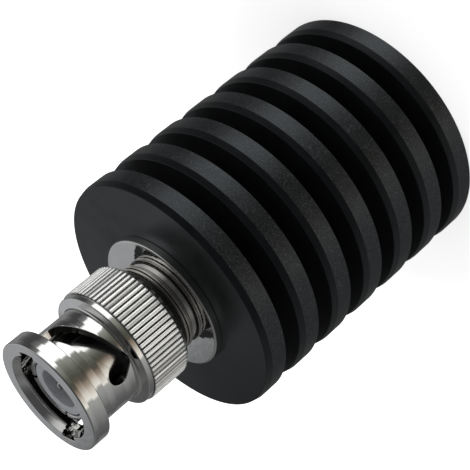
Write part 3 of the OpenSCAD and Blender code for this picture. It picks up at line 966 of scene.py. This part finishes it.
@dataclass
class Coupling:
    """The knurled bayonet sleeve. Heights in millimetres above its rear end."""

    base: float = 38.81
    length: float = 14.31
    segment_sharp: float = 38.0
    rear_bore: float = 5.57
    rear_edge: float = 0.06
    rear_bevel_len: float = 0.7
    rear_bevel_h: float = 0.6
    rear_bevel_steps: int = 6
    knurl: float = 7.25
    knurl_start: float = 1.0
    knurl_len: float = 5.45
    knurl_drop: float = 0.12
    knurl_drop_len: float = 0.14
    teeth: int = 72
    tooth_steps: int = 10
    tooth_power: float = 3.0
    tooth_depth: float = 0.27
    tooth_inside: float = 6.5
    tooth_over: float = 0.005
    groove: float = 6.9
    groove_zs: tuple[float, float] = (0.01, 0.1)
    band: float = 7.03
    band_start: float = 0.12
    band_rear_edge: float = 0.03
    band_edge: float = 0.12
    band_len: float = 0.78
    slope_len: float = 0.14
    barrel: float = 5.82
    barrel_edge: float = 0.05
    shoulder: float = 0.32
    flange: float = 7.08
    flange_t: float = 2.23
    flange_edge: float = 0.14
    bore: float = 4.95
    bore_edge: float = 0.1
    mouth: float = 5.45
    mouth_edge: float = 0.08
    mouth_len: float = 0.75
    rib: float = 4.32
    rib_zs: tuple[float, float] = (2.52, 1.62)
    slot: BayonetSlot = field(default_factory=BayonetSlot)
    slot_floor: float = 4.3
    # Distance past the barrel and widening of each layer of the slot's cutter
    slot_layers: tuple[tuple[float, float], ...] = (
        (-0.08, 0.0), (-0.03, 0.015), (0.0, 0.06), (0.4, 0.46))
    slot_top_gap: float = 0.002
    notch: float = 5.9
    notch_floor: float = 4.4
    # Distance past the front and widening of each layer of the notch's cutter
    notch_layers: tuple[tuple[float, float], ...] = ((-0.06, 0.0), (0.0, 0.06), (0.5, 0.56))
    notch_steps: int = 8
    knurl_zone: float = 6.6
    wall_zone: tuple[float, float] = (0.02, 0.1)

    def outline(self) -> Outline:
        """Draws the sleeve's half outline in its own height.

        Returns:
            The outline's points.
        """
        band_end = self.knurl_len + self.band_len
        flange_h = self.length - self.flange_t
        steps = self.rear_bevel_steps
        groove_start, groove_end = self.groove_zs
        rib_front, rib_rear = self.rib_zs
        corners = [(self.rear_bore, 0, self.rear_edge, 2),
            (self.knurl - self.rear_bevel_h, 0, self.rear_edge, 3)]
        corners += [(self.knurl - self.rear_bevel_h * (1 - k / steps),
                   self.rear_bevel_len * k / steps) for k in range(1, steps + 1)]
        corners += [(self.knurl, self.knurl_start),
            (self.knurl, self.knurl_len - self.knurl_drop_len),
            (self.knurl - self.knurl_drop, self.knurl_len),
            (self.groove, self.knurl_len + groove_start),
            (self.groove, self.knurl_len + groove_end),
            (self.band, self.knurl_len + self.band_start, self.band_rear_edge, 2),
            (self.band, band_end, self.band_edge, 4),
            (self.barrel, band_end + self.slope_len, self.shoulder, 6),
            (self.barrel, flange_h, self.barrel_edge, 2),
            (self.flange, flange_h, self.flange_edge, 5),
            (self.flange, self.length, self.flange_edge, 5),
            (self.mouth, self.length, self.mouth_edge, 3),
            (self.bore, self.length - self.mouth_len, self.bore_edge, 3),
            (self.bore, rib_front), (self.rib, rib_front),
            (self.rib, rib_rear), (self.rear_bore, rib_rear)]
        return rounded(corners)

    def tooth(self, r: float, z: float, turn: float) -> float:
        """Radius of the knurl at a place.

        Args:
            r: Radius of the turned outline.
            z: Height of the place in the row.
            turn: Place round the axis, from 0 to 1.

        Returns:
            The radius with the teeth cut.
        """
        h = z - self.base
        if r < self.tooth_inside or h > self.knurl_len + self.tooth_over or h < 0:
            return r
        from_crest = abs((turn * self.teeth) % 1.0 - 0.5) * 2
        return min(r, self.knurl - self.tooth_depth * from_crest ** self.tooth_power)

    def build(self) -> None:
        """Builds, slots and dresses the sleeve."""
        outline = [(r, h + self.base) for r, h in self.outline()]
        piece = lathe("coupling_sleeve_knurled", outline, self.teeth * self.tooth_steps,
                      self.segment_sharp, self.tooth)
        rings = [(self.slot_floor, 0.0)]
        rings += [(self.barrel + past, grow) for past, grow in self.slot_layers]
        top = self.length - self.flange_t - self.slot_top_gap
        tools = []
        for k in range(2):
            through = self.slot.cutter(f"slot_{k}", rings, top)
            notch = self.notch_cutter(f"notch_{k}")
            for tool in (through, notch):
                tool.location.z = self.base * MM
                tool.rotation_euler.z = math.pi * k
                tools.append(tool)
        cut(piece, tools, self.segment_sharp)
        place(piece, Body.COUPLING, Slot.NICKEL, "coupling_sleeve")
        dress_zone(piece, Zone.KNURL, lambda at, normal: at.z < self.base + self.knurl_len
                   and at.xy.length > self.knurl_zone)
        # Painted shade on the walls of the bayonet slots
        dress_zone(piece, Zone.SHADED_SLOT_WALL, self.on_slot_wall)

    def on_slot_wall(self, at: Vector, normal: Vector) -> bool:
        """Tells whether a face is a wall of a bayonet slot.

        Args:
            at: The face's centre, in millimetres.
            normal: The face's normal.

        Returns:
            True for the walls of the slots, below the flange.
        """
        h = at.z - self.base
        low = self.knurl_len + self.band_len + self.slope_len
        inner, outer = self.bore + self.wall_zone[0], self.barrel - self.wall_zone[1]
        if not (low < h < self.length - self.flange_t and inner < at.xy.length < outer):
            return False
        return is_cut_wall(at, normal)

    def notch_cutter(self, name: str) -> bpy.types.Object:
        """Makes the cutter of one entry notch through the flange.

        Args:
            name: Name of the tool.

        Returns:
            The closed cutter mesh.
        """
        half = self.slot.width / 2 / self.barrel
        middle = -math.radians(self.slot.entry)
        layers = [(self.slot.start_h, 0.0)]
        layers += [(self.length + past, grow) for past, grow in self.notch_layers]
        shares = [2 * i / self.notch_steps - 1 for i in range(self.notch_steps + 1)]
        sections = []
        for h, grow in layers:
            wide = half + grow / self.notch
            outer = self.notch + grow
            ring = []
            for r, side in ((outer, 1), (self.notch_floor, -1)):
                for share in shares:
                    a = middle + side * wide * share
                    ring.append((r * math.cos(a), r * math.sin(a), h))
            sections.append(ring)
        return prism(name, sections)


@dataclass
class WaveWashers:
    """The two wave washers that push the sleeve back. Sizes in millimetres."""

    inner: float = 4.32
    outer: float = 4.8
    strip: float = 0.25
    wave: float = 0.4
    waves: int = 3
    steps: int = 144
    fixed_z: float = 42.94
    stroke: float = 0.75
    # Height of each washer's rear side, and turn of its waves
    places: dict[str, tuple[float, float]] = field(default_factory=lambda: {
        "rear_wave_washer": (41.64, 0.0), "front_wave_washer": (42.29, math.pi)})

    def washer(self, name: str, z: float, phase: float) -> bpy.types.Object:
        """Bends a flat strip into waves round the axis.

        Args:
            name: Name of the object.
            z: Height of its rear side.
            phase: Turn of the waves.

        Returns:
            The new object.
        """
        section = ((self.inner, 0), (self.outer, 0), (self.outer, self.strip),
                   (self.inner, self.strip))
        sides = len(section)
        vertices: list[Point] = []
        faces: list[list[int]] = []
        for i in range(self.steps):
            a = math.tau * i / self.steps
            low = z + self.wave * (1 - math.cos(self.waves * a + phase)) / 2
            vertices += [(r * math.cos(a), r * math.sin(a), low + t) for r, t in section]
            here, after = i * sides, (i + 1) % self.steps * sides
            for k in range(sides):
                n = (k + 1) % sides
                faces.append([here + k, here + n, after + n, after + k])
        return finish_mesh(name, vertices, faces, 40)

    def build(self) -> None:
        """Builds both washers in their waved rest shape, from which the real ones flatten as the
        sleeve slides forward.
        """
        for node, (z, phase) in self.places.items():
            piece = self.washer(node + "_strip", z, phase)
            place(piece, Body.LOAD, Slot.STEEL, node)
            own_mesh(piece)


@dataclass
class InnerParts:
    """CAD nodes that keep their own shape and get a finish."""

    slots: dict[str, Slot] = field(default_factory=lambda: {
        "rear_thrust_washer": Slot.STEEL, "front_thrust_washer": Slot.STEEL,
        "retaining_ring": Slot.STEEL, "sealing_gasket": Slot.RUBBER, "rear_bead": Slot.PLASTIC,
        "contact_socket": Slot.SILVER, "front_end_cap": Slot.TIN, "rear_end_cap": Slot.TIN,
        "resistor_rod": Slot.CERAMIC, "resistor_film": Slot.FILM, "matching_sleeve": Slot.BRASS,
        "ground_collet": Slot.BRASS})

    def build(self) -> None:
        """Dresses every inner node."""
        for node, slot in self.slots.items():
            dress(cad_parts[node], slot)
            LOG.info("%s: dressed", node)


# Studio

# Panels of one tier of the studio: direction in degrees, and colour or grey level
Panels = tuple[tuple[float, "float | Colour"], ...]


def as_colour(shade_: float | Colour) -> Colour:
    """Returns a colour, or the grey that a single number stands for."""
    return (shade_,) * 3 if isinstance(shade_, float) else shade_


@dataclass(frozen=True)
class Softbox:
    """One rectangular lamp, with millimetres and watts."""

    name: str
    place: Point
    size: tuple[float, float]
    power: float

    def build(self, aim: Point) -> None:
        """Makes the lamp and turns it to a place in millimetres."""
        data = bpy.data.lights.new(self.name, "AREA")
        data.shape = "RECTANGLE"
        data.size, data.size_y = self.size[0] * MM, self.size[1] * MM
        data.energy = self.power
        lamp = linked(self.name, data)
        lamp.visible_glossy = False
        lamp.location = Vector(self.place) * MM
        way = Vector(aim) * MM - lamp.location
        lamp.rotation_euler = way.to_track_quat("-Z", "Y").to_euler()


@dataclass
class Studio:
    """Camera, floor, world and lamps. Sizes in millimetres unless they say otherwise."""

    frame_px: float = 470.0
    focal_px: float = 1565.444
    sensor: float = 36.0
    clip_m: tuple[float, float] = (0.01, 10.0)
    eye: Point = (0.5408, -157.4566, 107.4961)
    target: Point = (0.5408, 0.0, 23.5923)
    roll: float = 129.799
    ambient: float = 0.8
    floor_half_m: float = 2.0
    floor_drop_m: float = 0.00002
    floor_grey: float = 0.4
    floor_glow: float = 0.58
    shadow_reach: tuple[float, float] = (22.0, 45.0)
    lamp_aim: Point = (0, 0, 30)
    lamps: tuple[Softbox, ...] = (
        Softbox("right_box", (260, -120, 160), (160, 220), 0.45),
        Softbox("left_box", (-220, -160, 120), (140, 200), 0.25),
        Softbox("top_box", (-40, 40, 320), (220, 220), 0.3))
    # Tiers of panels from the floor to the roof, and the heights between which each goes over
    # to the next
    low_panels: Panels = (
        (0, 0.2), (40, 0.25), (50, 0.16), (64, (0.08, 0.08, 0.082)), (80, (0.07, 0.07, 0.072)),
        (90, 0.15), (100, 0.26), (106, 1.6), (142, (1.6, 1.6, 1.57)), (148, (0.37, 0.375, 0.34)),
        (160, (0.255, 0.26, 0.22)), (174, (0.135, 0.14, 0.115)), (186, (0.1, 0.098, 0.076)),
        (194, (0.14, 0.117, 0.092)), (206, (0.42, 0.345, 0.27)), (220, (0.86, 0.8, 0.71)),
        (232, (1.1, 1.06, 0.98)), (238, (0.46, 0.46, 0.43)), (260, (0.36, 0.36, 0.362)),
        (276, 0.26), (294, 0.16), (320, 0.11), (336, 0.2), (360, 0.2))
    level_panels: Panels = (
        (0, 0.15), (60, 0.15), (100, 0.04), (230, 0.03), (260, 0.17), (310, 0.17), (360, 0.15))
    high_panels: Panels = (
        (0, (0.375, 0.38, 0.395)), (3, (0.4, 0.405, 0.42)), (8, (0.5, 0.505, 0.52)), (60, 0.5),
        (90, 0.75), (112, 0.75), (130, 0.4), (145, 0.12), (180, 0.06), (210, 0.08), (230, 0.15),
        (250, 0.25), (275, 0.16), (320, 0.2), (348, 0.1), (355, 0.12),
        (357, (0.21, 0.215, 0.22)), (358, (0.33, 0.335, 0.345)), (360, (0.375, 0.38, 0.395)))
    roof_panels: Panels = ((0, 0.08),)
    tier_steps: tuple[tuple[float, float], ...] = ((-0.33, -0.2), (0.15, 0.31), (0.55, 0.8))

    def camera(self) -> None:
        """Puts the camera where the photograph was taken from."""
        data = bpy.data.cameras.new("camera")
        data.sensor_width = self.sensor
        data.lens = self.focal_px / self.frame_px * self.sensor
        data.clip_start, data.clip_end = self.clip_m
        view = linked("camera", data)
        eye = Vector(self.eye) * MM
        forward = (Vector(self.target) * MM - eye).normalized()
        side = forward.cross(Vector((0, 0, 1))).normalized()
        level_up = side.cross(forward)
        turn = math.radians(self.roll)
        up = level_up * math.cos(turn) + side * math.sin(turn)
        right = side * math.cos(turn) - level_up * math.sin(turn)
        matrix = Matrix((right, up, -forward)).transposed().to_4x4()
        matrix.translation = eye
        view.matrix_world = matrix
        bpy.context.scene.camera = view

    def floor(self) -> None:
        """Makes the pale floor that the load stands on."""
        half = self.floor_half_m
        mesh = bpy.data.meshes.new("floor")
        mesh.from_pydata([(-half, -half, 0), (half, -half, 0), (half, half, 0), (-half, half, 0)],
                         [], [(0, 1, 2, 3)])
        floor = linked("floor", mesh)
        floor.location.z = -self.floor_drop_m
        material = bpy.data.materials.new("white floor")
        kit = Nodes(material)
        near, far = self.shadow_reach
        level = kit.span(kit.radius(kit.place()), near * MM, far * MM, self.floor_glow)
        seen = kit.add("LightPath").outputs["Is Camera Ray"]
        glow = kit.add("Emission", {"Color": (1, 1, 1, 1),
                                    "Strength": kit.math("MULTIPLY", seen, level)})
        matt = kit.add("BsdfDiffuse", {"Color": (*as_colour(self.floor_grey), 1)})
        both = kit.add("AddShader", {0: glow.outputs[0], 1: matt.outputs[0]})
        kit.add("OutputMaterial", {"Surface": both.outputs[0]})
        mesh.materials.append(material)
        floor.visible_glossy = False

    def world(self) -> None:
        """Makes the studio that the metal reflects, white where the camera looks past the load."""
        world = bpy.data.worlds.new("studio")
        kit = Nodes(world)
        east, north, up = kit.axes(kit.add("TexCoord").outputs["Generated"])
        turn = kit.math("MULTIPLY", kit.math("ARCTAN2", east, north), 1 / math.tau)
        turn = kit.math("FRACT", turn)
        tiers = [kit.ramp(turn, [(way / 360, as_colour(colour)) for way, colour in tier])
                 for tier in (self.low_panels, self.level_panels, self.high_panels,
                              self.roof_panels)]
        shown = tiers[0]
        for tier, (start, end) in zip(tiers[1:], self.tier_steps):
            shown = kit.mix(kit.span(up, start, end, shape="SMOOTHSTEP"), shown, tier)
        tent = kit.add("Background", {"Color": shown, "Strength": 1.0})
        soft = kit.add("Background", {"Color": (1, 1, 1, 1), "Strength": self.ambient})
        white = kit.add("Background", {"Color": (1, 1, 1, 1), "Strength": 1.0})
        rays = kit.add("LightPath").outputs
        lit = kit.add("MixShader", {0: rays["Is Glossy Ray"], 1: soft.outputs[0],
                                    2: tent.outputs[0]})
        seen = kit.math("MAXIMUM", rays["Is Camera Ray"], rays["Is Transmission Ray"])
        mix = kit.add("MixShader", {0: seen, 1: lit.outputs[0], 2: white.outputs[0]})
        kit.add("OutputWorld", {"Surface": mix.outputs[0]})
        bpy.context.scene.world = world

    def build(self) -> None:
        """Sets up the whole studio."""
        self.camera()
        self.floor()
        self.world()
        for lamp in self.lamps:
            lamp.build(self.lamp_aim)


def main() -> None:
    """Builds every piece, then the studio."""
    logging.basicConfig(level=logging.INFO, format="%(message)s")
    bpy.context.scene.view_settings.view_transform = "Standard"
    Studio().build()
    HeatSink().build()
    Plug().build()
    Coupling().build()
    WaveWashers().build()
    InnerParts().build()


if __name__ == "__main__":
    main()
